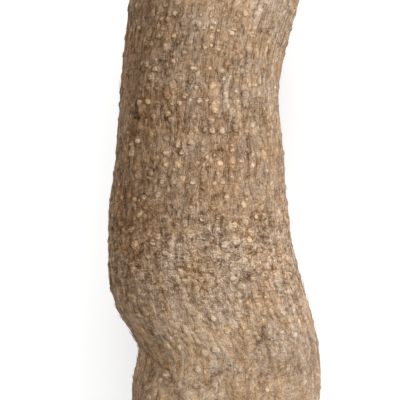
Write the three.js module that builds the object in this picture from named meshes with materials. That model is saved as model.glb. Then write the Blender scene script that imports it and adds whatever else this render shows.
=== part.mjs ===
// A whole yam tuber, lying on its side as picked. It grew as one piece, so it is one closed solid.
// Millimetres, +Z up. +Y runs along the tuber from its blunt tail to its stem end, and +X points to
// the flank that bulges near the tail. The origin is under the middle of the tuber, on the table.
//
// The body is lofted on four rails that run from the tail tip to the head tip: the two flanks in
// plan, and the back and belly in side view. Ring k passes through the k-th evenly spaced point of
// each rail, joined by four quarter arcs. Broad swellings and hollows are then added, and the belly
// is pressed flat where the tuber rests, as its own weight and the soil leave it.
import * as THREE from "three";

// Driving dimensions
const RINGS = 47; // rings between the two tips
const COLUMNS = 40; // points round each ring
const FULLNESS = 0.94; // exponent of the quarter arcs: 1 is an ellipse, less is squarer
const TABLE = 0; // height of the surface that the tuber rests on

// The tips, as x, y, z
const tailTip = new THREE.Vector3(20, -175, 41);
const headTip = new THREE.Vector3(12, 184, 45);

// Plan of the left flank, x and y from tail to head. It folds in at y = -82, above the tail's lobe.
const leftFlank = [
  [-8, -164],
  [-25, -147],
  [-34, -125],
  [-37.2, -104],
  [-36.6, -93],
  [-33.2, -82],
  [-37, -72],
  [-46, -57],
  [-49.6, -38],
  [-49.8, -8],
  [-46.5, 22],
  [-44.2, 58],
  [-40.6, 92],
  [-38, 120],
  [-33, 147],
  [-20, 169],
  [-4, 179],
];

// Plan of the right flank: full beside the tail, narrow at y = 56, and a shoulder at the head
const rightFlank = [
  [43, -162],
  [57, -144],
  [64, -121],
  [66, -98],
  [64.2, -75],
  [58, -53],
  [52, -33],
  [46.8, 0],
  [45.9, 28],
  [43.5, 56],
  [45.4, 78],
  [50.8, 97],
  [53.8, 114],
  [51.5, 138],
  [44, 161],
  [29, 177],
];

// Side view of the back, y and z
const back = [
  [-168, 62],
  [-152, 81],
  [-124, 92],
  [-88, 91],
  [-50, 95],
  [0, 92],
  [50, 87],
  [96, 89],
  [136, 85],
  [163, 75],
  [178, 60],
];

// Side view of the belly, y and z. It dips below the table where the tuber presses on it.
const belly = [
  [-166, 17],
  [-149, 4.5],
  [-124, -0.7],
  [-92, -1.5],
  [-52, 0.2],
  [0, 1.6],
  [46, -0.4],
  [82, -1.6],
  [112, -0.2],
  [142, 6],
  [165, 16],
  [178, 30],
];

// Swellings (rise > 0) and hollows (rise < 0): where along the tuber and how far round it they are
// centred, in mm and degrees from the right flank over the back, and how far they reach each way.
const swellings = [
  { along: -86, around: 138, rise: -2.6, reachAlong: 11, reachAround: 34 },
  { along: -99, around: 82, rise: -1.6, reachAlong: 10, reachAround: 40 },
  { along: -52, around: 146, rise: 1.8, reachAlong: 20, reachAround: 28 },
  { along: -108, around: 124, rise: 3.0, reachAlong: 20, reachAround: 26 },
  { along: -126, around: 70, rise: 2.0, reachAlong: 20, reachAround: 36 },
  { along: -142, around: 150, rise: -2.2, reachAlong: 16, reachAround: 24 },
  { along: -18, around: 62, rise: 1.6, reachAlong: 24, reachAround: 30 },
  { along: 34, around: 96, rise: -1.8, reachAlong: 20, reachAround: 40 },
  { along: 80, around: 116, rise: 2.0, reachAlong: 22, reachAround: 34 },
  { along: 112, around: 34, rise: 2.2, reachAlong: 20, reachAround: 32 },
  { along: 140, around: 108, rise: -2.4, reachAlong: 13, reachAround: 36 },
  { along: 152, around: 196, rise: 2.4, reachAlong: 15, reachAround: 34 },
  { along: 60, around: 222, rise: -2.0, reachAlong: 24, reachAround: 24 },
  { along: 8, around: 214, rise: 2.2, reachAlong: 22, reachAround: 24 },
  { along: -30, around: 322, rise: 2.2, reachAlong: 26, reachAround: 26 },
  { along: 42, around: 328, rise: -2.0, reachAlong: 24, reachAround: 26 },
  { along: 146, around: 318, rise: 2.2, reachAlong: 16, reachAround: 32 },
];

// A rail through both tips, as evenly spaced points: one for each tip and each ring
function rail(points, place, from, to) {
  const inner = points.map(([a, b]) => place(a, b));
  const curve = new THREE.CatmullRomCurve3([from, ...inner, to]);
  return curve.getSpacedPoints(RINGS + 1);
}

const plan = (x, y) => new THREE.Vector3(x, y, 0);
const side = (y, z) => new THREE.Vector3(0, y, z);
const inPlan = ({ x, y }) => plan(x, y);
const inSide = ({ y, z }) => side(y, z);

const rails = {
  left: rail(leftFlank, plan, inPlan(tailTip), inPlan(headTip)),
  right: rail(rightFlank, plan, inPlan(tailTip), inPlan(headTip)),
  back: rail(back, side, inSide(tailTip), inSide(headTip)),
  belly: rail(belly, side, inSide(tailTip), inSide(headTip)),
};

// Sum of the swellings at a place, where the angle goes the short way round
function swellingAt(along, degrees) {
  let total = 0;
  for (const { along: y, around, rise, reachAlong, reachAround } of swellings) {
    const turn = ((degrees - around + 540) % 360) - 180;
    const share = ((along - y) / reachAlong) ** 2 + (turn / reachAround) ** 2;
    total += rise * Math.exp(-share);
  }
  return total;
}

// A cosine or sine bent by FULLNESS, with its sign kept
const arc = (value) => Math.sign(value) * Math.abs(value) ** FULLNESS;

// The point of ring k at a turn from the right flank over the back
function skinPoint(k, turn) {
  const middle = rails.left[k].clone().lerp(rails.right[k], 0.5);
  const waist = (rails.back[k].z + rails.belly[k].z) / 2;
  const across = rails.right[k].clone().sub(middle).multiplyScalar(arc(Math.cos(turn)));
  const up = ((rails.back[k].z - rails.belly[k].z) / 2) * arc(Math.sin(turn));
  const lean = ((rails.back[k].y + rails.belly[k].y) / 2 - middle.y) * Math.abs(Math.sin(turn));
  const point = new THREE.Vector3(middle.x, middle.y + lean, waist + up).add(across);
  const outward = new THREE.Vector3(Math.cos(turn), 0, Math.sin(turn));
  point.addScaledVector(outward, swellingAt(point.y, THREE.MathUtils.radToDeg(turn)));
  point.z = Math.max(point.z, TABLE);
  return point;
}

// One closed mesh: the tail tip, the rings, and the head tip
function tuberGeometry() {
  const points = [tailTip];
  for (let k = 1; k <= RINGS; k++)
    for (let j = 0; j < COLUMNS; j++) points.push(skinPoint(k, (2 * Math.PI * j) / COLUMNS));
  points.push(headTip);

  const at = (k, j) => 1 + (k - 1) * COLUMNS + (j % COLUMNS);
  const head = points.length - 1;
  const faces = [];
  for (let j = 0; j < COLUMNS; j++) {
    faces.push(0, at(1, j), at(1, j + 1));
    for (let k = 1; k < RINGS; k++) {
      faces.push(at(k, j), at(k + 1, j), at(k + 1, j + 1));
      faces.push(at(k, j), at(k + 1, j + 1), at(k, j + 1));
    }
    faces.push(at(RINGS, j), head, at(RINGS, j + 1));
  }

  const geometry = new THREE.BufferGeometry().setFromPoints(points);
  geometry.setIndex(faces);
  geometry.computeBoundingBox();
  const middle = geometry.boundingBox.getCenter(new THREE.Vector3());
  geometry.translate(-middle.x, -middle.y, 0);
  geometry.computeVertexNormals();
  return geometry;
}

const bark = new THREE.MeshStandardMaterial({ color: 0x967d65, roughness: 0.88, metalness: 0 });

const tuber = new THREE.Mesh(tuberGeometry(), bark);
tuber.name = "yam_tuber";

const yam = new THREE.Group();
yam.name = "yam";
yam.add(tuber);

export default yam;
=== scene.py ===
import math
import random

import bmesh
import bpy
import numpy as np
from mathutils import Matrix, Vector, noise
from mathutils.bvhtree import BVHTree


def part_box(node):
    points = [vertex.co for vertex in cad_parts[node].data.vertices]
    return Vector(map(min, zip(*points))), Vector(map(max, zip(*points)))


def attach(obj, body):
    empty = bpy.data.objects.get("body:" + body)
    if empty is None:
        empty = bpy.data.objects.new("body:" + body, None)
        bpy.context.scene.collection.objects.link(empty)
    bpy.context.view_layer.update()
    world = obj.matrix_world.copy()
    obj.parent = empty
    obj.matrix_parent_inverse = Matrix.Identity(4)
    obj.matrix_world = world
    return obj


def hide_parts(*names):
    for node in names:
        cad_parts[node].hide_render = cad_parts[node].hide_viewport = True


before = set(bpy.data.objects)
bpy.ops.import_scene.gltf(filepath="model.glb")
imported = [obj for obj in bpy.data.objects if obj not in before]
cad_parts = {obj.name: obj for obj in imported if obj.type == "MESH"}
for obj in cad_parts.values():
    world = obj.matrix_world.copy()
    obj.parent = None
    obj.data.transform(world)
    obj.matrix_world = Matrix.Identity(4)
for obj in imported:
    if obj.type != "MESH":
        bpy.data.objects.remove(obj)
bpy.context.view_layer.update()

mm = 0.001
low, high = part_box("yam_tuber")


# Small helpers for meshes and node trees

def makeObject(name, mesh):
    thing = bpy.data.objects.new(name, mesh)
    bpy.context.scene.collection.objects.link(thing)
    return thing


def storeOn(mesh, name, values):
    # A float or a vector for each point of the mesh
    values = np.asarray(values, dtype=np.float32)
    kind, field = ("FLOAT_VECTOR", "vector") if values.ndim == 2 else ("FLOAT", "value")
    mesh.attributes.new(name, kind, "POINT").data.foreach_set(field, values.ravel())


def addNode(tree, kind, inputs=None, **settings):
    # An input is a plain value, or the socket that feeds it
    node = tree.nodes.new(kind)
    for name, value in settings.items():
        setattr(node, name, value)
    for key, value in (inputs or {}).items():
        if isinstance(value, bpy.types.NodeSocket):
            tree.links.new(value, node.inputs[key])
        else:
            node.inputs[key].default_value = value
    return node


def calculate(tree, operation, *values, clamp=False):
    inputs = dict(enumerate(values))
    return addNode(tree, "ShaderNodeMath", inputs, operation=operation, use_clamp=clamp).outputs[0]


def mapRange(tree, value, fromLow, fromHigh, toLow=0.0, toHigh=1.0):
    inputs = {"Value": value, "From Min": fromLow, "From Max": fromHigh, "To Min": toLow, "To Max": toHigh}
    return addNode(tree, "ShaderNodeMapRange", inputs, interpolation_type="SMOOTHSTEP").outputs[0]


def vectorMath(tree, operation, first, second=None, scale=None):
    inputs = {0: first}
    if second is not None:
        inputs[1] = second
    if scale is not None:
        inputs["Scale"] = scale
    node = addNode(tree, "ShaderNodeVectorMath", inputs, operation=operation)
    return node.outputs["Value" if operation == "DOT_PRODUCT" else "Vector"]


def pattern(tree, place, size, detail=2.0, roughness=0.5, distortion=0.0):
    # Noise from 0 to 1, whose grain has this size in millimetres
    size = size if isinstance(size, tuple) else (size,) * 3
    scaled = vectorMath(tree, "MULTIPLY", place, [1 / s for s in size])
    inputs = {"Vector": scaled, "Scale": 1.0, "Detail": detail, "Roughness": roughness,
              "Distortion": distortion}
    return addNode(tree, "ShaderNodeTexNoise", inputs).outputs["Fac"]


def cells(tree, place, size, feature="F1"):
    scaled = vectorMath(tree, "MULTIPLY", place, [1 / s for s in size])
    return addNode(tree, "ShaderNodeTexVoronoi", {"Vector": scaled, "Scale": 1.0}, feature=feature)


def named(tree, name, kind="FLOAT"):
    return addNode(tree, "GeometryNodeInputNamedAttribute", {"Name": name}, data_type=kind).outputs[0]


def newTree(name, inputs):
    # A Geometry Nodes tree and the sockets of its named inputs
    tree = bpy.data.node_groups.new(name, "GeometryNodeTree")
    for label, kind in {"Geometry": "NodeSocketGeometry", **inputs}.items():
        tree.interface.new_socket(label, in_out="INPUT", socket_type=kind)
    tree.interface.new_socket("Geometry", in_out="OUTPUT", socket_type="NodeSocketGeometry")
    return tree, addNode(tree, "NodeGroupInput").outputs


def finishTree(tree, geometry, material):
    # Every tree ends in real geometry with its material
    real = addNode(tree, "GeometryNodeRealizeInstances", {"Geometry": geometry})
    finished = addNode(tree, "GeometryNodeSetMaterial", {"Geometry": real.outputs[0], "Material": material})
    addNode(tree, "NodeGroupOutput", {0: finished.outputs[0]})


def runTree(start, tree, values, name):
    # The modifier's result as a plain mesh
    modifier = start.modifiers.new(tree.name, "NODES")
    modifier.node_group = tree
    for item in tree.interface.items_tree:
        if item.in_out == "INPUT" and item.name in values:
            modifier[item.identifier] = values[item.name]
    shown = start.evaluated_get(bpy.context.evaluated_depsgraph_get())
    mesh = bpy.data.meshes.new_from_object(shown)
    mesh.name = name
    bpy.data.objects.remove(start)
    return makeObject(name, mesh)


# Camera, floor and light
studio = {
    "lens": 100.0,  # mm
    "sensorWidth": 36.0,  # mm
    "pictureWidth": 0.220,  # m across, at the height where the flanks are widest
    "flankHeight": 0.045,
    "middle": (-0.0079, -0.0045),
    # Suns: strength, colour, the way towards them, and how many degrees across they are
    "key": (4.15, (0.96, 0.985, 1.0), (1.0, 0.20, 1.0), 30.0),
    "side": (0.85, (1.0, 0.82, 0.60), (-0.7, 0.9, 0.7), 50.0),
    "wash": (3.6, (1.0, 1.0, 1.0), (0.06, 1.0, 0.40), 60.0),
    "fill": (1.0, 0.83, 0.60),
    "fillStrength": 0.19,
    "backdrop": (1.0, 1.0, 0.985),
    "floorWidth": 12.0,  # m
    "floorColour": (0.86, 0.86, 0.85),
    "floorRoughness": 0.9,
    "floorGlow": 0.638,  # keeps its shadows pale, and lights the undersides
    "glowColour": (0.88, 0.94, 1.0),
}


def makeCamera():
    data = bpy.data.cameras.new("camera")
    data.lens = studio["lens"]
    data.sensor_width = studio["sensorWidth"]
    camera = makeObject("camera", data)
    away = studio["pictureWidth"] * data.lens / data.sensor_width
    camera.location = (*studio["middle"], studio["flankHeight"] + away)
    bpy.context.scene.camera = camera


def makeSun(name, floor, state):
    # A soft sun that lights the floor alone (INCLUDE) or everything but the floor (EXCLUDE)
    strength, colour, direction, width = studio[name]
    data = bpy.data.lights.new(name, "SUN")
    data.energy = strength
    data.color = colour
    data.angle = math.radians(width)
    sun = makeObject(name, data)
    sun.rotation_euler = Vector(direction).to_track_quat("Z", "Y").to_euler()
    receivers = bpy.data.collections.new(name + "Receivers")
    receivers.objects.link(floor)
    receivers.collection_objects[0].light_linking.link_state = state
    sun.light_linking.receiver_collection = receivers


def makeFloor():
    half = studio["floorWidth"] / 2
    mesh = bpy.data.meshes.new("floor")
    corners = [(-half, -half, 0), (half, -half, 0), (half, half, 0), (-half, half, 0)]
    mesh.from_pydata(corners, [], [(0, 1, 2, 3)])
    floor = makeObject("floor", mesh)
    paper = bpy.data.materials.new("paper")
    paper.use_nodes = True
    shader = paper.node_tree.nodes["Principled BSDF"]
    shader.inputs["Base Color"].default_value = (*studio["floorColour"], 1)
    shader.inputs["Roughness"].default_value = studio["floorRoughness"]
    shader.inputs["Specular IOR Level"].default_value = 0.0
    shader.inputs["Emission Color"].default_value = (*studio["glowColour"], 1)
    shader.inputs["Emission Strength"].default_value = studio["floorGlow"]
    mesh.materials.append(paper)
    return floor


def makeWorld():
    # A dim warm light from all round, and a white backdrop that only the camera sees
    world = bpy.data.worlds.new("studio")
    world.use_nodes = True
    tree = world.node_tree
    tree.nodes.clear()
    fill = addNode(tree, "ShaderNodeBackground", {
        "Color": (*studio["fill"], 1), "Strength": studio["fillStrength"]})
    backdrop = addNode(tree, "ShaderNodeBackground", {"Color": (*studio["backdrop"], 1), "Strength": 1.0})
    path = addNode(tree, "ShaderNodeLightPath")
    seen = {0: path.outputs["Is Camera Ray"], 1: fill.outputs[0], 2: backdrop.outputs[0]}
    mix = addNode(tree, "ShaderNodeMixShader", seen)
    addNode(tree, "ShaderNodeOutputWorld", {"Surface": mix.outputs[0]})
    bpy.context.scene.world = world
    bpy.context.scene.view_settings.view_transform = "Standard"


makeCamera()
floor = makeFloor()
makeSun("key", floor, "EXCLUDE")
makeSun("side", floor, "EXCLUDE")
makeSun("wash", floor, "INCLUDE")
makeWorld()
print("studio made")


# The bark: its colours, its finish and the sizes of its patterns
bark = {
    # The cork from its darkest to its palest, in even steps of tone
    "cork": [(0.055, 0.028, 0.0135), (0.152, 0.089, 0.049), (0.265, 0.178, 0.114),
             (0.408, 0.299, 0.213), (0.600, 0.470, 0.358)],
    "dust": (0.240, 0.195, 0.155),
    "rust": (0.300, 0.165, 0.085),
    "warmTint": (1.06, 0.98, 0.855),
    "coolTint": (0.972, 1.0, 1.045),
    "scarTint": (1.045, 1.0, 0.94),
    "fleckTint": (1.42, 1.02, 0.70),
    "roughness": 0.86,
    "gloss": 0.25,
    "bumpHeight": 0.54,  # mm
    # Sizes in mm. Where there are three, the middle one is along the tuber.
    "streaks": (0.60, 6.0, 0.60),
    "longStreaks": (2.1, 30.0, 2.1),
    "streakLines": (2.4, 24.0, 2.4),
    "grain": (3.2, 3.6, 3.2),
    "fineGrain": (1.6, 1.9, 1.6),
    "coarseGrain": 5.5,
    "grit": 1.1,
    "pits": (2.4, 3.8, 2.4),
    "crackPatches": 8.0,
    "threads": (1.7, 2.4, 1.7),
    "wrinkles": (4.4, 2.4, 4.4),
    "loops": (3.0, 4.6, 3.0),
    "crossLines": (8.0, 2.8, 8.0),
    "plates": (6.0, 3.9, 6.0),
    "plateBlobs": (5.6, 3.0, 5.6),
    "plateValleys": (6.0, 3.6, 6.0),
    "plateCurls": (5.2, 3.3, 5.2),
    "riftPatches": 6.0,
    "scarGrain": 0.9,
    # Blotches of painted shade on the flank away from the key light
    "flankShadeBlotches": (4.0, 8.0, 4.0),
    "dustPatches": 9.0,
    "rustPatches": 6.0,
    "flecks": (2.0, 3.4, 2.0),
    "broadWarmth": 22.0,
    "fineWarmth": 5.0,
}

# The nodules that the cork has grown, which its finish and the skin's relief share
nodules = {
    "cell": (3.5, 3.9, 3.5),  # mm from one nodule of the cork to the next
    "stirSize": 3.0,
    "stir": 2.6,  # how far their outlines wander, in mm
    "height": 0.32,  # mm that the highest ones stand above the cracks between them
    "middle": 0.3,  # share of that which is level with the skin
    "onLobe": 0.4,  # share of their height that is left on the tail's lobe
}


def wander(tree, stir, amount):
    # A noise's colour as a move, across this amount each way
    middled = vectorMath(tree, "SUBTRACT", stir.outputs["Color"], (0.5, 0.5, 0.5))
    return vectorMath(tree, "SCALE", middled, scale=amount)


def stirred(tree, flow):
    # Places on the skin, moved a little so that the borders of cells wander
    scale = 1 / nodules["stirSize"]
    stir = addNode(tree, "ShaderNodeTexNoise", {"Vector": flow, "Scale": scale, "Detail": 2.0})
    return vectorMath(tree, "ADD", flow, wander(tree, stir, nodules["stir"]))


def noduleField(tree, flow):
    # Rise of each nodule from 0 at its border to its own height, and how far the nearest crack is
    moved = stirred(tree, flow)
    nearest = cells(tree, moved, nodules["cell"])
    dome = mapRange(tree, nearest.outputs["Distance"], 0.62, 0.12)
    own = vectorMath(tree, "DOT_PRODUCT", nearest.outputs["Color"], (0.4, 0.35, 0.25))
    own = mapRange(tree, own, 0.25, 0.85, 0.25, 1.0)
    edge = cells(tree, moved, nodules["cell"], "DISTANCE_TO_EDGE").outputs["Distance"]
    return calculate(tree, "MULTIPLY", dome, own), edge


def scaledBy(tree, value, field, atNone, atFull):
    # The value times the first number where the field is 0, and times the second where it is 1
    return calculate(tree, "MULTIPLY", value, mapRange(tree, field, 0.0, 1.0, atNone, atFull))


def windingLines(tree, place, size, width, twist):
    # 1 on the lines along which a noise passes its middle value, and 0 away from them
    value = pattern(tree, place, size, 1.0, 0.5, twist)
    gap = calculate(tree, "ABSOLUTE", calculate(tree, "SUBTRACT", value, 0.5))
    return mapRange(tree, gap, width, 0.0)


def addUp(tree, start, parts):
    # The start plus each pattern times its weight
    total = start
    for value, weight in parts:
        total = calculate(tree, "MULTIPLY_ADD", value, weight, total)
    return total


def mixColours(tree, share, first, second):
    inputs = {0: share}
    for key, colour in ((6, first), (7, second)):
        inputs[key] = colour if isinstance(colour, bpy.types.NodeSocket) else (*colour, 1)
    return addNode(tree, "ShaderNodeMix", inputs, data_type="RGBA").outputs[2]


def tinted(tree, colour, share, tint):
    # The colour times a tint, as far as the share goes
    return vectorMath(tree, "MULTIPLY", colour, mixColours(tree, share, (1.0, 1.0, 1.0), tint))


def streakRelief(tree, flow, lobe, ridged):
    # Grain that runs along the tuber, and is fainter on the tail's lobe and among the plates
    streaks = addUp(tree, 0.0, [
        (pattern(tree, flow, bark["streaks"], 1.0, 0.5, 0.4), 0.34),
        (pattern(tree, flow, bark["longStreaks"], 1.0, 0.5, 0.25), 0.34),
        (windingLines(tree, flow, bark["streakLines"], 0.034, 0.35), -0.28),
    ])
    streaks = scaledBy(tree, streaks, lobe, 1.0, 0.2)
    return scaledBy(tree, streaks, ridged, 1.0, 0.5)


def plateRelief(tree, flow, ridged):
    # Above the lobe, the cork has cracked into plates that are wider than they are long
    blob = mapRange(tree, pattern(tree, flow, bark["plateBlobs"], 1.0, 0.4, 1.3), 0.40, 0.60)
    gap = cells(tree, stirred(tree, flow), bark["plates"], "DISTANCE_TO_EDGE").outputs["Distance"]
    valley = windingLines(tree, flow, bark["plateValleys"], 0.045, 1.6)
    curl = windingLines(tree, flow, bark["plateCurls"], 0.075, 1.9)
    torn = mapRange(tree, pattern(tree, flow, bark["riftPatches"], 2.0), 0.38, 0.62, 0.1, 1.0)
    rift = calculate(tree, "MULTIPLY", mapRange(tree, gap, 0.12, 0.0), torn)
    plates = addUp(tree, -0.04, [(blob, 0.60), (rift, -0.75), (valley, -0.6), (curl, 0.65)])
    return calculate(tree, "MULTIPLY", plates, ridged)


def fineRelief(tree, flow, lobe, ridged):
    # Height of the cork's fine relief, which its tone follows too, so that its pits, cracks and winding
    # lines are painted darker: partly painted shade, partly the cork's own grain
    pit = cells(tree, flow, bark["pits"])
    pitDepth = mapRange(tree, pit.outputs["Distance"], 0.30, 0.10)
    pitShare = addNode(tree, "ShaderNodeSeparateColor", {"Color": pit.outputs["Color"]}).outputs[0]
    pitDepth = calculate(tree, "MULTIPLY", pitDepth, mapRange(tree, pitShare, 0.45, 0.75))
    nodule, edge = noduleField(tree, flow)
    cracked = mapRange(tree, pattern(tree, flow, bark["crackPatches"], 2.0), 0.40, 0.60)
    crack = calculate(tree, "MULTIPLY", mapRange(tree, edge, 0.11, 0.0), cracked)

    # On the tail's lobe the nodules are faint, and fine winding lines take their place
    nodule = scaledBy(tree, nodule, lobe, 1.0, 0.35)
    thread = windingLines(tree, flow, bark["threads"], 0.06, 1.5)
    thread = scaledBy(tree, thread, lobe, 0.6, 1.6)
    wrinkle = windingLines(tree, flow, bark["wrinkles"], 0.07, 1.5)
    wrinkle = calculate(tree, "MULTIPLY", wrinkle, lobe)

    height = addUp(tree, -0.46, [
        (pattern(tree, flow, bark["grain"], 2.0, 0.5, 0.6), 0.34),
        (pattern(tree, flow, bark["fineGrain"], 2.0, 0.55, 0.8), 0.46),
        (pattern(tree, flow, bark["coarseGrain"], 3.0, 0.6), 0.20),
        (pattern(tree, flow, bark["grit"], 2.0, 0.6), 0.26),
        (streakRelief(tree, flow, lobe, ridged), 1.0),
        (lobe, 0.47),
        (ridged, 0.17),
        (nodule, 0.26),
        (plateRelief(tree, flow, ridged), 0.38),
        (pitDepth, -0.14),
        (crack, -0.18),
        (thread, -0.13),
        (wrinkle, -0.15),
        (windingLines(tree, flow, bark["loops"], 0.06, 1.2), -0.15),
        (windingLines(tree, flow, bark["crossLines"], 0.05, 1.0), -0.15),
    ])
    return scaledBy(tree, calculate(tree, "SUBTRACT", height, 0.5), lobe, 1.0, 0.95)


def scarShade(tree, flow, disc, paleness):
    # How much paler or darker than the skin each part of a scar or a strand is, with a fine grain. The dark
    # ring round each scar is painted shade.
    grain = mapRange(tree, pattern(tree, flow, bark["scarGrain"], 2.0), 0.36, 0.64, 0.15, 1.45)
    shade = calculate(tree, "MULTIPLY", disc, calculate(tree, "MULTIPLY_ADD", paleness, 0.48, 0.03))
    return calculate(tree, "MULTIPLY", shade, grain)


def corkRamp(tree, tone):
    ramp = addNode(tree, "ShaderNodeValToRGB", {"Fac": tone})
    stops = ramp.color_ramp.elements
    colours = bark["cork"]
    while len(stops) < len(colours):
        stops.new(0.5)
    for k, colour in enumerate(colours):
        stops[k].position = k / (len(colours) - 1)
        stops[k].color = (*colour, 1)
    return ramp.outputs[0]


def barkColour(tree, flow, tone, shade, stained):
    # The cork's colour, in warmer and cooler patches, under dust, rust, orange flecks and pale scars
    dusty = mapRange(tree, pattern(tree, flow, bark["dustPatches"], 4.0, 0.65), 0.54, 0.70, 0.0, 0.16)
    rusty = mapRange(tree, pattern(tree, flow, bark["rustPatches"], 3.0, 0.6, 1.0), 0.60, 0.74, 0.0, 0.40)
    fleck = mapRange(tree, pattern(tree, flow, bark["flecks"], 2.0, 0.5, 0.8), 0.57, 0.68, 0.0, 0.55)
    fleck = scaledBy(tree, fleck, stained, 0.30, 1.0)
    warmth = addUp(tree, 0.0, [
        (pattern(tree, flow, bark["broadWarmth"], 3.0, 0.6), 0.5),
        (pattern(tree, flow, bark["fineWarmth"], 3.0, 0.6, 0.8), 0.5),
    ])
    warmth = mapRange(tree, warmth, 0.41, 0.59)
    tint = mixColours(tree, warmth, bark["coolTint"], bark["warmTint"])
    colour = vectorMath(tree, "MULTIPLY", corkRamp(tree, tone), tint)
    colour = mixColours(tree, dusty, colour, bark["dust"])
    colour = mixColours(tree, rusty, colour, bark["rust"])
    colour = tinted(tree, colour, fleck, bark["fleckTint"])
    scarred = calculate(tree, "MULTIPLY", shade, 2.0, clamp=True)
    return tinted(tree, colour, scarred, bark["scarTint"])


def barkMaterial():
    material = bpy.data.materials.new("bark")
    material.use_nodes = True
    tree = material.node_tree
    shader = tree.nodes["Principled BSDF"]
    flow = addNode(tree, "ShaderNodeAttribute", attribute_name="flow").outputs["Vector"]
    furrowShade, disc, paleness, pale, splitShade, lobe, ridged, stained = (
        addNode(tree, "ShaderNodeAttribute", attribute_name=name).outputs["Fac"]
        for name in ("relief", "disc", "paleness", "pale", "splitShade", "lobe", "ridged", "stained"))
    # The tone follows this height, so the cork's hollows are painted darker: partly painted shade
    height = fineRelief(tree, flow, lobe, ridged)
    # The pale scars, with a dark ring of painted shade round each
    shade = scarShade(tree, flow, disc, paleness)
    # Darker and paler blotches on the flank that faces away from the key light: painted shade
    flankShade = calculate(tree, "SUBTRACT", pattern(tree, flow, bark["flankShadeBlotches"], 3.0, 0.6, 0.8), 0.52)
    flankShade = calculate(tree, "MULTIPLY", flankShade, stained)
    # Pale patches, the one on the tail's lobe by the fold painted light
    # The furrows of the relief are painted darker in the tone, and the crests paler: painted shade and light
    # The splits and the stem's hollow are painted darker in the tone: painted shade
    tone = addUp(tree, 0.58, [
        (height, 0.91), (furrowShade, 0.15), (shade, 1.0), (pale, 0.42), (splitShade, -0.40), (flankShade, 0.9)])
    tone = calculate(tree, "ADD", tone, 0.0, clamp=True)
    colour = barkColour(tree, flow, tone, shade, stained)
    distance = bark["bumpHeight"] * mm
    bump = addNode(tree, "ShaderNodeBump", {"Height": height, "Strength": 1.0, "Distance": distance})
    tree.links.new(colour, shader.inputs["Base Color"])
    tree.links.new(bump.outputs[0], shader.inputs["Normal"])
    shader.inputs["Roughness"].default_value = bark["roughness"]
    shader.inputs["Specular IOR Level"].default_value = bark["gloss"]
    return material


barkSkin = barkMaterial()
print("bark made")


# The skin: a fine grid of rings laid over the smoothed solid, and the relief on it, in mm
skin = {
    "rings": 326,
    "columns": 296,
    "endReach": 0.050,  # m from each tip to the place from which rays fan out to its dome
    "mergeWithin": 0.01,
    "joinBelow": 60.0,  # degrees between two triangles that become one face
    "smoothing": 2,
    "lumpSize": 26.0, "lumpHeight": 0.9,
    "knobSize": 10.0, "knobHeight": 0.4,
    "swerveSize": 9.0,  # of the waves that bend the furrows
    # Furrows: size of their noise, depth, the value where it is cut off flat, and the one that is level
    "wrinkles": ((4.2, 24.0, 4.2), 0.75, 0.35, 0.2),
    "net": ((7.5, 4.2, 7.5), 0.8, 0.3, 0.16),
    "netLength": 155.0, "netBlend": 14.0,  # of the tail where the net is full
    "netBeyond": 0.35,  # share of it that is left beyond
    "creases": ((16.0, 3.4, 16.0), 1.1, 0.4, 0.2),  # beside the fold, and fewer on the ridges
    "creasesOnRidges": 0.6,
    "fold": (-46.0, -86.0, 45.0), "foldReach": 24.0,
    "lobeLength": 127.0,  # of the tail where winding wrinkles take the place of the straight grain
    "lobeBlend": 11.0,
    "grooveDepth": 0.2,  # of relief that counts as 1 in the bark's tone, which paints the furrows darker and the crests paler: painted shade and light
    # Splits and folds in the cork of the back: half width and depth, and x and y of their points. Their
    # depth is painted darker on the skin too, as painted shade.
    "splits": [
        (0.9, 1.1, [(24.2, -69.5), (24.4, -73.5), (23.0, -76.8), (20.6, -78.6)]),
        (0.9, 1.3, [(-42.8, 38.8), (-39.5, 38.2), (-36.8, 39.2)]),
        (0.7, 1.0, [(-44.5, 41.6), (-41.5, 41.0)]),
        (0.8, 0.8, [(-33.4, -71.2), (-31.6, -74.0)]),
        (0.7, 0.8, [(-17.0, -98.6), (-14.0, -99.8), (-8.0, -100.4), (-3.6, -97.4), (0.2, -93.6),
                    (6.0, -91.0)]),
        (1.3, 0.7, [(-41.5, -81.5), (-35.7, -86.2), (-30.1, -89.6), (-24.7, -94.1), (-21.5, -98.9)]),
    ],
    "splitsAbove": 40.0,  # height over which they are cut, so that the belly has none
    "shadedAndFleckedFrom": -0.5,  # x of the normal, left of which, on the side away from the key light, the skin gets blotches of painted shade and more orange flecks
    "shadedAndFleckedBlend": 0.10,
    "stem": {
        "place": (4.0, 179.5, 45.0), "radius": 9.0,
        "rim": 1.6, "rimWidth": 1.8,
        "hollow": 2.6, "inset": 2.0, "blend": 0.7,
        "waver": 1.2, "waverSize": 6.0,
        "darkness": 0.35, "darkest": 0.7,  # painted shade in the hollow, for each mm of its depth, and at most
    },
    # Where rootlets are left: place and reach, and share of the skin there
    "hairyPatches": [((-44, -76, 50), 13, 0.6), ((-30, -100, 30), 18, 0.5), ((20, -170, 40), 26, 0.4),
                     ((44, 150, 30), 18, 0.4), ((-20, 60, 5), 26, 0.3)],
    # Paler parts of the skin, and darker ones below 0: where, how far they reach, and how much. The first,
    # on the tail's lobe by the fold, is painted light where the lobe faces up and where the fold's shade is
    # lifted.
    "palePatches": [
        ((-18, -80, 82), (30, 24, 60), 0.74), ((12, 66, 84), (60, 62, 60), 0.17),
        ((14, 96, 84), (34, 14, 60), 0.30), ((-2, -40, 92), (26, 13, 60), 0.20),
        ((18, -9, 90), (12, 10, 60), -0.24), ((-10, 39, 90), (14, 12, 60), -0.14),
        ((-13, 51, 90), (11, 10, 60), 0.24), ((-23, -10, 88), (12, 10, 60), -0.22),
        ((17, 31, 90), (12, 10, 60), -0.18),
    ],
}


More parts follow.
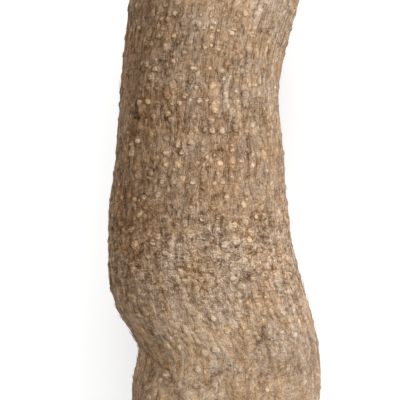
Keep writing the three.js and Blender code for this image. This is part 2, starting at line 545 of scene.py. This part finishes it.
def smoothSolid():
    # The CAD skin with its doubles merged and its facets rounded off
    work = bmesh.new()
    work.from_mesh(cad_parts["yam_tuber"].data)
    bmesh.ops.remove_doubles(work, verts=work.verts, dist=skin["mergeWithin"] * mm)
    flat = math.radians(skin["joinBelow"])
    bmesh.ops.join_triangles(work, faces=work.faces, angle_face_threshold=flat, angle_shape_threshold=flat)
    mesh = bpy.data.meshes.new("smoothSolid")
    work.to_mesh(mesh)
    work.free()
    solid = makeObject("smoothSolid", mesh)
    rounder = solid.modifiers.new("rounder", "SUBSURF")
    rounder.levels = rounder.render_levels = skin["smoothing"]
    tree = BVHTree.FromObject(solid, bpy.context.evaluated_depsgraph_get())
    bpy.data.objects.remove(solid)
    return tree


def sectionMiddle(tree, y):
    # Half way between the flanks, and then half way between belly and back
    inside = Vector((0, y, (low.z + high.z) / 2))
    inside.x = sum(tree.ray_cast(inside, Vector((side, 0, 0)))[0].x for side in (-1, 1)) / 2
    inside.z = sum(tree.ray_cast(inside, Vector((0, 0, side)))[0].z for side in (-1, 1)) / 2
    return inside


def castRings(tree):
    # Rings of points on the solid. The rays stand square to its length, and fan out at the ends.
    reach = skin["endReach"]
    dome = math.pi / 2 * reach
    straight = high.y - low.y - 2 * reach
    turns = np.arange(skin["columns"]) * 2 * math.pi / skin["columns"]
    rings = []
    for k in range(skin["rings"]):
        way = (k + 1) / (skin["rings"] + 1) * (straight + 2 * dome)
        along = min(max(way - dome, 0), straight)
        lean = (way - dome - along) / reach
        start = sectionMiddle(tree, low.y + reach + along)
        across = math.cos(lean)
        aims = [Vector((math.cos(t) * across, math.sin(lean), math.sin(t) * across)) for t in turns]
        rings.append([tree.ray_cast(start, aim)[0] for aim in aims])
    tips = []
    for y, side in ((low.y + reach, -1), (high.y - reach, 1)):
        tips.append(tree.ray_cast(sectionMiddle(tree, y), Vector((0, side, 0)))[0])
    return np.array(rings), np.array(tips)


def gridMesh(name, points, ringCount):
    # One closed mesh of rings, between its first point and its last
    last = len(points) - 1
    at = 1 + np.arange(last - 1).reshape(ringCount, -1)
    beside = np.roll(at, -1, axis=1)
    quads = np.stack([at[:-1], at[1:], beside[1:], beside[:-1]], axis=-1).reshape(-1, 4)
    start = [(0, a, b) for a, b in zip(at[0].tolist(), beside[0].tolist())]
    end = [(last, b, a) for a, b in zip(at[-1].tolist(), beside[-1].tolist())]
    mesh = bpy.data.meshes.new(name)
    mesh.from_pydata(points.tolist(), [], start + quads.tolist() + end)
    mesh.shade_smooth()
    return mesh


class Grid:
    # The bare skin in millimetres, and where each of its points is when the skin is rolled out
    def __init__(self, rings, tips):
        self.rings = rings / mm
        self.points = np.vstack([tips[:1] / mm, self.rings.reshape(-1, 3), tips[1:] / mm])
        mesh = gridMesh("bare", self.points * mm, len(rings))
        self.pointNormals = np.empty(self.points.size, dtype=np.float32)
        mesh.vertices.foreach_get("normal", self.pointNormals)
        bpy.data.meshes.remove(mesh)
        self.pointNormals = self.pointNormals.reshape(-1, 3)
        self.normals = self.pointNormals[1:-1].reshape(rings.shape)
        steps = np.linalg.norm(np.diff(self.rings, axis=0), axis=2).mean(axis=1)
        self.along = np.concatenate([[0], np.cumsum(steps)])
        self.step = steps.mean()
        edges = np.linalg.norm(self.rings - np.roll(self.rings, 1, axis=1), axis=2)
        self.radius = edges.sum(axis=1) / (2 * math.pi)
        self.turns = np.arange(rings.shape[1]) * 2 * math.pi / rings.shape[1]

    def place(self, row, column):
        # Point and normal at a place between rings and columns
        i = min(int(row), len(self.along) - 2)
        j = int(column) % len(self.turns)
        nextJ = (j + 1) % len(self.turns)
        v, u = row - i, column - int(column)
        weights = ((1 - v) * (1 - u), (1 - v) * u, v * (1 - u), v * u)
        corners = ((i, j), (i, nextJ), (i + 1, j), (i + 1, nextJ))
        point = sum(w * self.rings[c] for w, c in zip(weights, corners))
        normal = sum(w * self.normals[c] for w, c in zip(weights, corners))
        return point, normal / np.linalg.norm(normal)

    def onBack(self, x, y):
        # Ring and column of the point of the back that lies at x and y, seen from above
        gaps = np.hypot(self.rings[..., 0] - x, self.rings[..., 1] - y)
        facingUp = self.normals[..., 2] >= 0.05
        gaps[~facingUp] = math.inf
        return np.unravel_index(gaps.argmin(), gaps.shape)


grid = Grid(*castRings(smoothSolid()))
print("skin grid", grid.rings.shape, "step", round(float(grid.step), 2), "mm")


# The root scars: where they are, and the low corky disc that is laid on the skin at each
scars = {
    "seed": 5,
    "tailLength": 118.0,  # mm of the tail that has few scars
    "tailShare": 0.25,
    "ridged": 172.0,  # mm from the tail tip to the middle of the ridged stretch
    "ridgedReach": 28.0,
    "fewer": 0.55,  # share of the scars that is missing there
    # Where they crowd: middle and reach in mm, and how many more there are
    "crowds": [((-44, 52, 55), 42, 0.5), ((-46, -20, 50), 34, 0.4), ((-6, 66, 88), 30, 0.35)],
    "share": 0.75,  # of the places that have a scar, and how much noise adds to it or takes away
    "shareNoise": 1.5,  # how much finer that noise is than the one that moves the rings
    "endGap": 4.0,  # mm from the tips to the first and last ring of scars
    "tipGap": 2.0,  # mm from the tips to the nearest scar
    "rowSpacing": 12.5,  # mm. Each ring follows the last by a share of this from rowGaps.
    "rowGaps": (0.55, 0.8),
    "spacing": 5.9,  # mm from scar to scar round a ring
    "turnJitter": 0.3,  # of that
    "waver": 4.0,  # mm that a ring strays along the tuber
    "waverTurns": 1.6,  # how finely it does so round the tuber
    "waverLength": 30.0,  # mm along the tuber over which that changes
    "jitter": 2.2,  # mm that each scar strays too
    "radii": (0.9, 1.75),
    "paleness": 0.75,  # of the palest
    "clearance": 0.98,  # of their two radii together, between the middles of neighbours
    "swelling": 0.16,  # in radii, that the skin rises under a scar
    "reach": 3.2,  # in radii, of its effects on the skin
    "swellingSpread": 2.2, "pushSpread": 1.9,  # in squares of the radius
    "pushLimit": 1.6,  # mm that the fibres are pushed aside at most
    "stretch": ((0.85, 1.2), (0.85, 1.1)),  # least and most, both ways
    "sides": 11,
    # Each ring of the disc's points: radius and height above the skin in scar radii, and how pale it is.
    # Below 0 it is darker: the dark ring round the rim is painted shade.
    "profile": [(0.34, 0.26, 1.0), (0.66, 0.29, 0.9), (0.92, 0.16, 0.2), (1.13, -0.03, -0.75),
                (1.40, -0.12, -0.1)],
    "centre": (0.22, 1.0),  # height and paleness
    "root": -0.5,  # depth of the buried end
    "ragged": 0.30,  # mm across which noise moves the outline
    "raggedNoise": {"Scale": 900.0, "Detail": 1.0},
    "raggedSeed": 3.0,
}

# The most marked scars of the back, from the stem end down: x, y and radius in mm, and paleness
scarMarks = [
    (-20.5, 91.5, 1.5, 1.0), (-25, 89, 1.3, 0.5), (-1, 86.5, 1.2, 0.6), (-6, 83.5, 1.3, 0.7),
    (-2.5, 83.5, 1.1, 0.7), (1.5, 82.5, 1.0, 0.9), (9.5, 83.5, 1.6, 0.9), (8.5, 80.3, 1.4, 1.0),
    (-2.5, 78.5, 1.1, 0.7), (-2.5, 74.7, 1.1, 1.0), (0, 74.7, 1.1, 1.0), (-21.5, 79.5, 1.6, 0.5),
    (-34, 81.5, 1.9, 0.3), (-29, 80, 1.6, 0.3), (-36, 76.5, 1.6, 0.4), (-9, 73, 1.6, 0.4),
    (-22, 70.5, 1.4, 0.4), (-16.5, 71, 1.4, 0.4), (-2.8, 63.5, 1.2, 0.9), (3.5, 62, 1.4, 0.6),
    (-35.5, 65.5, 1.6, 0.3), (-31, 63, 1.6, 0.4), (4, 57.3, 1.4, 0.5), (-33.5, 59, 1.6, 0.4),
    (-10.5, 53, 1.2, 1.0), (-1.3, 54.6, 2.0, 0.7), (-2, 50, 2.0, 0.6), (15, 50, 1.7, 0.4),
    (-39.3, 46.6, 1.7, 0.95), (-34.6, 46.3, 1.6, 1.0), (-24.4, 48.8, 2.0, 0.4), (-21.7, 45.3, 1.3, 0.5),
    (-18, 45.5, 1.7, 0.7), (-16, 49.5, 1.7, 0.8), (-13, 47.3, 2.0, 0.6), (-8.8, 46.6, 1.5, 1.0),
    (11.3, 46, 1.0, 0.6), (6, 43.5, 1.1, 0.6), (10, 41.8, 1.2, 0.7), (-24.4, 40.6, 1.8, 0.5),
    (0, 41.5, 1.5, 0.6), (10.5, 33, 2.0, 0.35), (16.6, 31.5, 1.2, 0.6), (19.2, 33.4, 1.2, 0.4),
    (-2, 31.3, 2.0, 0.8), (3, 30.6, 2.2, 0.6), (-12.7, 29.8, 1.5, 0.6), (27.5, 29.8, 1.2, 0.4),
    (-25, 27, 1.8, 0.5), (-40.5, 25.8, 1.6, 0.6), (-43.6, 24.4, 1.6, 0.7), (-12.3, 24.7, 1.7, 0.6),
    (-18.8, 23.2, 1.6, 0.7), (8.6, 23.8, 1.0, 0.6), (9, 21, 1.5, 0.9), (16.9, 20.8, 1.2, 0.8),
    (-43.4, 20, 1.9, 0.4), (-26, 20.2, 1.7, 0.5), (-17.4, 19.7, 1.4, 0.5), (-4.3, 17.8, 1.1, 0.9),
    (-0.7, 18.8, 1.1, 0.6), (20.2, 16.8, 1.0, 0.6), (-9.2, 14.4, 1.0, 0.6), (-6.4, 13.5, 1.0, 0.6),
    (-3.8, 13.2, 1.2, 0.7), (-19.7, 13.5, 1.8, 0.5), (-45, 13.4, 1.5, 0.5), (8.5, 13.5, 1.7, 0.5),
    (19.2, 13.4, 1.3, 0.8), (1, 10, 1.2, 0.6), (-39.7, 8.8, 2.0, 0.4), (-33, 9, 1.7, 0.4),
    (-17.6, 6.8, 1.6, 0.3), (8.2, 6.8, 1.2, 0.6), (-11.2, 4.2, 1.4, 0.6), (4, 4.2, 1.4, 0.5),
    (-45.6, 4.2, 2.0, 0.4), (-21.2, 4.3, 1.2, 0.5), (-45.4, -2.3, 1.7, 0.4), (-41.8, -4, 1.5, 0.6),
    (-36.3, -3.7, 1.3, 0.9), (-49.2, -3, 1.6, 0.4), (-30, -2.5, 1.7, 0.4), (5.4, -2.6, 1.6, 0.6),
    (8.6, -3.4, 1.6, 0.8), (-35.7, -8, 1.5, 0.6), (-12, -8.4, 1.8, 0.5), (-9, -8.8, 1.5, 0.5),
    (-1.3, -8.1, 1.9, 0.5), (14, -7.6, 2.0, 0.6), (1.3, -13.2, 1.2, 0.8), (-6.9, -14.7, 1.4, 0.8),
    (9, -16.8, 1.6, 0.7), (15.2, -15.8, 1.7, 0.6), (-43.4, -19.4, 2.3, 0.4), (-41.8, -27.4, 2.0, 0.5),
    (-32, -26, 1.7, 0.7), (-22.2, -26.5, 1.6, 0.6), (4.4, -27.4, 1.9, 0.7), (9.7, -26.1, 1.7, 0.8),
    (16.4, -25.4, 1.8, 0.6), (-28.8, -32.6, 1.6, 0.7), (-25.4, -37, 1.5, 0.5), (21.4, -39.5, 1.6, 0.8),
    (-7.4, -45, 1.6, 0.6), (8, -44, 1.6, 0.7), (-35.6, -63.5, 1.6, 0.9), (-0.7, -63.8, 1.7, 0.6),
    (10.5, -64.3, 1.7, 0.6), (43.3, -67.7, 1.7, 0.7), (41.1, -74.5, 1.6, 0.6), (-5.9, -82.6, 1.9, 0.6),
    (0.3, -81.2, 1.9, 0.5), (-9.4, -91.4, 1.7, 0.5), (-5.1, -91.8, 1.7, 0.4), (-26.2, -94.9, 2.0, 0.4),
    (-35.8, -103.2, 1.9, 0.5), (-33.7, -107.5, 1.9, 0.6),
]


def ridgedAt(along):
    # 1 where the ridges that wind round the tuber are strongest, and 0 far from there
    return np.exp(-(((along - scars["ridged"]) / scars["ridgedReach"]) ** 2))


def placeScars():
    rng = random.Random(scars["seed"])
    found = []  # point, normal, radius, paleness, row, column

    def keep(row, column, radius, paleness):
        point, normal = grid.place(row, column)
        for other in found:
            if np.linalg.norm(other[0] - point) < scars["clearance"] * (other[2] + radius):
                return
        found.append((point, normal, radius, paleness, row, column))

    for x, y, radius, paleness in scarMarks:
        row, column = grid.onBack(x, y)
        keep(row, column, radius, paleness)

    columns = len(grid.turns)
    length = grid.along[-1]
    ring = scars["endGap"]
    while ring < length - scars["endGap"]:
        radius = float(np.interp(ring, grid.along, grid.radius))
        count = max(3, round(2 * math.pi * radius / scars["spacing"]))
        phase = rng.random()
        for k in range(count):
            jitter = rng.uniform(-scars["turnJitter"], scars["turnJitter"])
            turn = (k + phase + jitter) / count * 2 * math.pi
            wide = scars["waverTurns"]
            side = Vector((math.cos(turn) * wide, ring / scars["waverLength"], math.sin(turn) * wide))
            along = ring + scars["waver"] * noise.noise(side) + rng.uniform(-1, 1) * scars["jitter"]
            size = rng.uniform(*scars["radii"])
            paleness = scars["paleness"] * rng.random() ** 2
            crowded = noise.noise(side * scars["shareNoise"] + Vector((9, 3, 7)))  # another part of it
            share = scars["share"] + scars["share"] * crowded
            row = float(np.interp(along, grid.along, np.arange(len(grid.along))))
            column = turn / (2 * math.pi) * columns % columns
            here, _ = grid.place(row, column)
            for middle, reach, more in scars["crowds"]:
                share += more * math.exp(-(np.linalg.norm(here - middle) / reach) ** 2)
            ridges = 1 - scars["fewer"] * ridgedAt(along)
            share *= scars["tailShare"] if along < scars["tailLength"] else ridges
            if rng.random() < share and scars["tipGap"] < along < length - scars["tipGap"]:
                keep(row, column, size, paleness)
        ring += scars["rowSpacing"] * rng.uniform(*scars["rowGaps"])
    return found


foundScars = placeScars()
print("root scars placed:", len(foundScars))


def noiseAt(points, size, seed):
    # Each seed looks at another part of the noise
    places = (points / np.array(size) + 13.7 * seed).tolist()
    return np.array([noise.noise(place) for place in places])


def furrows(places, kind, seed):
    # Furrows along the lines where a noise is 0
    size, depth, top, level = skin[kind]
    return depth * (np.minimum(np.abs(noiseAt(places, size, seed)), top) - level)


def below(values, middle, blend):
    # 1 well below the middle value, 0 well above it, and a smooth change between
    return 1 / (1 + np.exp((values - middle) / blend))


def scarEffects():
    # How far the skin rises round the scars, and how far its fibres are pushed aside by them
    rise = np.zeros(grid.rings.shape[:2])
    push = np.zeros(grid.rings.shape[:2])
    ringCount, columns = rise.shape
    for _, _, radius, _, row, column in foundScars:
        reach = scars["reach"] * radius
        first = max(0, int(row - reach / grid.step))
        i = np.arange(first, min(ringCount, int(row + reach / grid.step) + 2))
        local = float(np.interp(row, np.arange(ringCount), grid.radius))
        wide = min(columns // 2 - 1, int(reach / (2 * math.pi * local / columns)) + 1)
        j = np.arange(int(column) - wide, int(column) + wide + 1)
        ahead = (i[:, None] - row) * grid.step
        aside = (j[None, :] - column) * 2 * math.pi / columns * local
        apart = (ahead**2 + aside**2) / radius**2
        spot = np.ix_(i, j % columns)
        rise[spot] += scars["swelling"] * radius * np.exp(-apart / scars["swellingSpread"])
        push[spot] -= aside * np.exp(-apart / scars["pushSpread"])
    return rise, np.clip(push, -scars["pushLimit"], scars["pushLimit"])


def splitDepth(spots):
    # How deep the splits are at each place
    depth = np.zeros(len(spots))
    for width, deepest, line in skin["splits"]:
        for (x0, y0), (x1, y1) in zip(line, line[1:]):
            along = np.array([x1 - x0, y1 - y0])
            gaps = spots[:, :2] - (x0, y0)
            part = np.clip(gaps @ along / (along @ along), 0, 1)
            distance = np.linalg.norm(gaps - part[:, None] * along, axis=1)
            near = deepest * np.exp(-((distance / width) ** 2))
            depth = np.maximum(depth, np.where(spots[:, 2] > skin["splitsAbove"], near, 0))
    return depth


def stemRelief(spots):
    # A raised rim round a shallow hollow, where the stem broke off
    stem = skin["stem"]
    distance = np.linalg.norm(spots - np.array(stem["place"]), axis=1)
    distance += stem["waver"] * noiseAt(spots, stem["waverSize"], 8)
    past = distance - stem["radius"]
    rim = stem["rim"] * np.exp(-((past / stem["rimWidth"]) ** 2))
    return rim - stem["hollow"] / (1 + np.exp((past + stem["inset"]) / stem["blend"]))


def patches(spots, kind):
    # How much of this kind's patches there is at each place
    total = np.zeros(len(spots))
    for place, reach, share in skin[kind]:
        total += share * np.exp(-(((spots - np.array(place)) / np.array(reach)) ** 2).sum(axis=1))
    return total


def capped(values, tail, head):
    # Values for each point of the skin: those of its rings between those of its two tips
    return np.concatenate([[tail], values.reshape(-1, *values.shape[2:]), [head]])


def makeSkin():
    rise, push = scarEffects()
    around = grid.turns[None, :] + push / grid.radius[:, None]
    rolled = np.stack([
        grid.radius[:, None] * np.cos(around),
        np.broadcast_to(grid.along[:, None], around.shape),
        grid.radius[:, None] * np.sin(around),
    ], axis=-1)
    rolled = capped(rolled, (0, -1, 0), (0, grid.along[-1] + 1, 0))
    spots = grid.points

    lumps = skin["lumpHeight"] * noiseAt(rolled, skin["lumpSize"], 1)
    lumps += skin["knobHeight"] * noiseAt(rolled, skin["knobSize"], 2)
    swerve, swerveDeep = (noiseAt(rolled, skin["swerveSize"], seed) for seed in (3, 4))
    waved = rolled + np.stack([swerve, 0 * swerve, swerveDeep], axis=-1)
    wrinkles = furrows(waved, "wrinkles", 5)
    net = furrows(waved, "net", 6)
    creases = furrows(waved, "creases", 7)
    left = skin["netBeyond"]
    netted = left + (1 - left) * below(rolled[:, 1], skin["netLength"], skin["netBlend"])
    gap = np.linalg.norm(spots - np.array(skin["fold"]), axis=1) / skin["foldReach"]
    ridged = ridgedAt(rolled[:, 1])
    fine = wrinkles + net * netted
    fine += creases * (np.exp(-gap**2) + skin["creasesOnRidges"] * ridged)

    # 1 on the flank that faces away from the key light, where blotches of painted shade and more orange
    # flecks go
    stained = below(grid.pointNormals[:, 0], skin["shadedAndFleckedFrom"], skin["shadedAndFleckedBlend"])
    stem = stemRelief(spots)
    splits = splitDepth(spots)
    # The splits and the stem's hollow are painted darker by their depth: painted shade
    hollow = np.clip(-skin["stem"]["darkness"] * stem, 0, skin["stem"]["darkest"])
    splitShade = np.maximum(splits, hollow)
    lobe = below(rolled[:, 1], skin["lobeLength"], skin["lobeBlend"])

    height = lumps + fine + stem + capped(rise, 0, 0) - splits
    points = spots + grid.pointNormals * height[:, None]
    points[:, 2] = np.maximum(points[:, 2], 0)
    mesh = gridMesh("yam_skin", points * mm, len(grid.rings))
    storeOn(mesh, "flow", rolled)
    fields = {"relief": fine / skin["grooveDepth"], "pale": patches(spots, "palePatches"), "splitShade": splitShade,
              "lobe": lobe, "ridged": ridged, "stained": stained, "hairy": patches(spots, "hairyPatches")}
    for name, values in fields.items():
        storeOn(mesh, name, values)
    return makeObject("smoothSkin", mesh)


def setPosition(tree, geometry, **moves):
    # The geometry moved by an Offset or to a Position
    return addNode(tree, "GeometryNodeSetPosition", {"Geometry": geometry, **moves}).outputs[0]


def keptAbove(tree, place, lowest):
    # The place, or the one straight above it at the lowest height that is allowed
    return vectorMath(tree, "MAXIMUM", place, (-1.0, -1.0, lowest))


def noduleTree():
    tree, given = newTree("nodulesInCork", {"Height": "NodeSocketFloat", "Finish": "NodeSocketMaterial"})
    nodule, _ = noduleField(tree, named(tree, "flow", "FLOAT_VECTOR"))
    rise = calculate(tree, "SUBTRACT", nodule, nodules["middle"])
    rise = calculate(tree, "MULTIPLY", rise, given["Height"])
    rise = scaledBy(tree, rise, named(tree, "lobe"), 1.0, nodules["onLobe"])
    normal = addNode(tree, "GeometryNodeInputNormal").outputs[0]
    raised = setPosition(tree, given["Geometry"], Offset=vectorMath(tree, "SCALE", normal, scale=rise))
    here = addNode(tree, "GeometryNodeInputPosition").outputs[0]
    rested = setPosition(tree, raised, Position=keptAbove(tree, here, 0.0))
    finishTree(tree, rested, given["Finish"])
    return tree


values = {"Height": nodules["height"] * mm, "Finish": barkSkin}
yamSkin = runTree(makeSkin(), noduleTree(), values, "yam_skin")
print("skin:", len(yamSkin.data.polygons), "faces")


def discMesh():
    # A disc of radius 1 with a raised rim, closed by a point below
    points, rises, discs = [], [], []
    for radius, rise, shade in ((0, *scars["centre"]), *scars["profile"], (0, scars["root"], 0)):
        sides = scars["sides"] if radius else 1
        for k in range(sides):
            turn = 2 * math.pi * k / sides
            points.append((radius * math.cos(turn), radius * math.sin(turn), 0))
            rises.append(rise)
            discs.append(shade)
    mesh = gridMesh("disc", np.array(points), len(scars["profile"]))
    storeOn(mesh, "rise", rises)
    storeOn(mesh, "disc", discs)
    return mesh


def sampleSkin(tree, skinMesh, value, kind="FLOAT_VECTOR"):
    inputs = {"Mesh": skinMesh, "Value": value}
    return addNode(tree, "GeometryNodeSampleNearestSurface", inputs, data_type=kind).outputs[0]


def storeNamed(tree, geometry, name, value, kind="FLOAT", domain="POINT"):
    inputs = {"Geometry": geometry, "Name": name, "Value": value}
    return addNode(tree, "GeometryNodeStoreNamedAttribute", inputs, data_type=kind, domain=domain).outputs[0]


def copyFromSkin(tree, skinMesh, geometry, names):
    # Each point takes these values from the nearest place on the skin
    for name in names:
        kind = "FLOAT_VECTOR" if name == "flow" else "FLOAT"
        value = sampleSkin(tree, skinMesh, named(tree, name, kind), kind)
        geometry = storeNamed(tree, geometry, name, value, kind)
    return geometry


def turnedFrom(tree, upright, angle):
    # The upright rotation, turned about its own axis by the angle
    spin = addNode(tree, "FunctionNodeAxisAngleToRotation", {"Axis": (0, 0, 1), "Angle": angle})
    both = {"Rotation": upright.outputs[0], "Rotate By": spin.outputs[0]}
    return addNode(tree, "FunctionNodeRotateRotation", both, rotation_space="LOCAL").outputs[0]


def realCopies(tree, inputs):
    placed = addNode(tree, "GeometryNodeInstanceOnPoints", inputs)
    return addNode(tree, "GeometryNodeRealizeInstances", {"Geometry": placed.outputs[0]}).outputs[0]


def layOnSkin(tree, skinMesh, geometry, bend, rise, lowest):
    # Noise bends the geometry, and then every point is laid on the skin and raised to its height
    grain, seed, amount = bend
    here = addNode(tree, "GeometryNodeInputPosition").outputs[0]
    stir = addNode(tree, "ShaderNodeTexNoise", {"Vector": here, "W": seed, **grain}, noise_dimensions="4D")
    moved = setPosition(tree, geometry, Offset=wander(tree, stir, amount))
    nearest = addNode(tree, "GeometryNodeProximity", {"Geometry": skinMesh}, target_element="FACES")
    outward = sampleSkin(tree, skinMesh, addNode(tree, "GeometryNodeInputNormal").outputs[0])
    raised = vectorMath(tree, "SCALE", outward, scale=rise)
    raised = vectorMath(tree, "ADD", nearest.outputs["Position"], raised)
    return setPosition(tree, moved, Position=keptAbove(tree, raised, lowest))


def scarTree():
    tree, given = newTree("scarsOnSkin", {
        "Disc": "NodeSocketObject", "Skin": "NodeSocketObject", "Ragged": "NodeSocketFloat",
        "Seed": "NodeSocketFloat", "Finish": "NodeSocketMaterial"})
    disc = addNode(tree, "GeometryNodeObjectInfo", {"Object": given["Disc"]}).outputs["Geometry"]
    skinMesh = addNode(tree, "GeometryNodeObjectInfo", {"Object": given["Skin"]}).outputs["Geometry"]

    # Each disc stands square to the skin, turned at random
    normal = named(tree, "normal", "FLOAT_VECTOR")
    upright = addNode(tree, "FunctionNodeAlignRotationToVector", {"Vector": normal})
    turned = turnedFrom(tree, upright, named(tree, "spin"))
    scale = vectorMath(tree, "SCALE", named(tree, "stretch", "FLOAT_VECTOR"), scale=named(tree, "size"))
    real = realCopies(tree, {
        "Points": given["Geometry"], "Instance": disc, "Rotation": turned, "Scale": scale})

    bend = (scars["raggedNoise"], given["Seed"], given["Ragged"])
    rise = calculate(tree, "MULTIPLY", named(tree, "rise"), named(tree, "size"))
    laid = layOnSkin(tree, skinMesh, real, bend, rise, 0.0)
    laid = copyFromSkin(tree, skinMesh, laid, ("flow", "relief", "pale", "lobe", "ridged", "stained"))
    finishTree(tree, laid, given["Finish"])
    return tree


def makeScars():
    rng = random.Random(scars["seed"] + 1)
    points, normals, radii, paleness, _, _ = zip(*foundScars)
    mesh = bpy.data.meshes.new("scarPlaces")
    mesh.from_pydata([point * mm for point in points], [], [])
    storeOn(mesh, "normal", normals)
    storeOn(mesh, "size", [radius * mm for radius in radii])
    storeOn(mesh, "paleness", paleness)
    storeOn(mesh, "spin", [rng.uniform(0, 2 * math.pi) for _ in points])
    wide, long = scars["stretch"]
    storeOn(mesh, "stretch", [(rng.uniform(*wide), rng.uniform(*long), 1) for _ in points])
    disc = makeObject("disc", discMesh())
    values = {"Disc": disc, "Skin": yamSkin, "Ragged": scars["ragged"] * mm, "Seed": scars["raggedSeed"],
              "Finish": barkSkin}
    piece = runTree(makeObject("scarPlaces", mesh), scarTree(), values, "root_scars")
    bpy.data.objects.remove(disc)
    return piece


rootScars = makeScars()
print("root scars:", len(rootScars.data.polygons), "faces")


# Fibres sunk in the cork, and the rootlets that are left: both are strands that lie along the skin
strands = {
    "steps": 7,  # points along each strand
    "sides": 4,
    "density": 1e6,  # places tried on each square metre, before those too near another are dropped
    "lengths": (0.5, 1.3),  # of the piece's own length
    "waverNoise": {"Scale": 140.0, "Detail": 2.0},
    "shades": (-0.6, 1.0),
    "paleness": 0.5,
    "tip": 0.25,  # thickness at the ends, of the thickness in the middle
    "tipLength": 0.4,  # share of the strand that tapers, from each end
    "lowest": 0.26,  # mm, so that none reaches under the table
}

# The names here are the tree's own inputs
fibres = {
    "Spacing": 4.9 * mm, "Everywhere": 1.0, "Length": 10.0 * mm, "Radius": 0.26 * mm, "Waver": 2.2 * mm,
    "Turn": 0.12, "Sink": 0.08 * mm, "Lift": 0.0, "Shade": 0.7, "Seed": 4,
}

rootlets = {
    "Spacing": 3.4 * mm, "Everywhere": 0.008, "Length": 13.0 * mm, "Radius": 0.17 * mm, "Waver": 5.0 * mm,
    "Turn": 1.1, "Sink": 0.0, "Lift": 1.3 * mm, "Shade": 1.3, "Seed": 9,
}


def randomFloat(tree, lowest, highest, seed):
    inputs = {"Min": lowest, "Max": highest, "Seed": seed}
    return addNode(tree, "FunctionNodeRandomValue", inputs, data_type="FLOAT").outputs[1]


def strandTree():
    sizes = ("Spacing", "Everywhere", "Length", "Radius", "Waver", "Turn", "Sink", "Lift", "Shade")
    tree, given = newTree("strandsOnSkin", {
        **dict.fromkeys(sizes, "NodeSocketFloat"), "Seed": "NodeSocketInt", "Finish": "NodeSocketMaterial"})
    skinMesh, seed = given["Geometry"], given["Seed"]
    share = calculate(tree, "MAXIMUM", named(tree, "hairy"), given["Everywhere"])
    spots = addNode(tree, "GeometryNodeDistributePointsOnFaces", {
        "Mesh": skinMesh, "Distance Min": given["Spacing"], "Density Max": strands["density"],
        "Density Factor": share, "Seed": seed}, distribute_method="POISSON")

    # Each strand starts as a straight line along the tuber, turned a little at random
    line = addNode(tree, "GeometryNodeCurvePrimitiveLine", {"Start": (0, -0.5, 0), "End": (0, 0.5, 0)})
    line = addNode(tree, "GeometryNodeResampleCurve", {"Curve": line.outputs[0], "Count": strands["steps"]})
    axes = {"Primary Axis": spots.outputs["Normal"], "Secondary Axis": (0, 1, 0)}
    upright = addNode(tree, "FunctionNodeAxesToRotation", axes, primary_axis="Z", secondary_axis="Y")
    turn = randomFloat(tree, calculate(tree, "MULTIPLY", given["Turn"], -1.0), given["Turn"], seed)
    length = calculate(tree, "MULTIPLY", given["Length"], randomFloat(tree, *strands["lengths"], seed))
    curves = realCopies(tree, {
        "Points": spots.outputs["Points"], "Instance": line.outputs[0],
        "Rotation": turnedFrom(tree, upright, turn),
        "Scale": addNode(tree, "ShaderNodeCombineXYZ", {0: 1.0, 1: length, 2: 1.0}).outputs[0]})

    # Its far end is lifted
    bend = (strands["waverNoise"], seed, given["Waver"])
    part = addNode(tree, "GeometryNodeSplineParameter").outputs["Factor"]
    lift = calculate(tree, "MULTIPLY", calculate(tree, "POWER", part, 2.0), given["Lift"])
    lift = calculate(tree, "SUBTRACT", lift, given["Sink"])
    laid = layOnSkin(tree, skinMesh, curves, bend, lift, strands["lowest"] * mm)
    laid = copyFromSkin(tree, skinMesh, laid, ("flow", "pale", "lobe", "ridged", "stained"))
    disc = calculate(tree, "MULTIPLY", randomFloat(tree, *strands["shades"], seed), given["Shade"])
    laid = storeNamed(tree, laid, "disc", disc, domain="CURVE")
    laid = storeNamed(tree, laid, "paleness", strands["paleness"], domain="CURVE")

    # Thick in the middle and thin at both ends
    fromEnd = calculate(tree, "MINIMUM", part, calculate(tree, "SUBTRACT", 1.0, part))
    taper = mapRange(tree, fromEnd, 0.0, strands["tipLength"], strands["tip"], 1.0)
    outline = {"Resolution": strands["sides"], "Radius": given["Radius"]}
    ring = addNode(tree, "GeometryNodeCurvePrimitiveCircle", outline).outputs[0]
    tubes = addNode(tree, "GeometryNodeCurveToMesh", {
        "Curve": laid, "Profile Curve": ring, "Scale": taper, "Fill Caps": True})
    finishTree(tree, tubes.outputs[0], given["Finish"])
    return tree


def makeStrands(settings, name):
    start = makeObject(name + "Start", yamSkin.data.copy())
    return runTree(start, strandTree(), {**settings, "Finish": barkSkin}, name)


barkFibres = makeStrands(fibres, "bark_fibres")
rootHairs = makeStrands(rootlets, "root_hairs")
print("fibres:", len(barkFibres.data.polygons), "faces, rootlets:", len(rootHairs.data.polygons))


# The model rides on its body
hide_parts("yam_tuber")
for piece in (yamSkin, rootScars, barkFibres, rootHairs):
    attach(piece, "root")
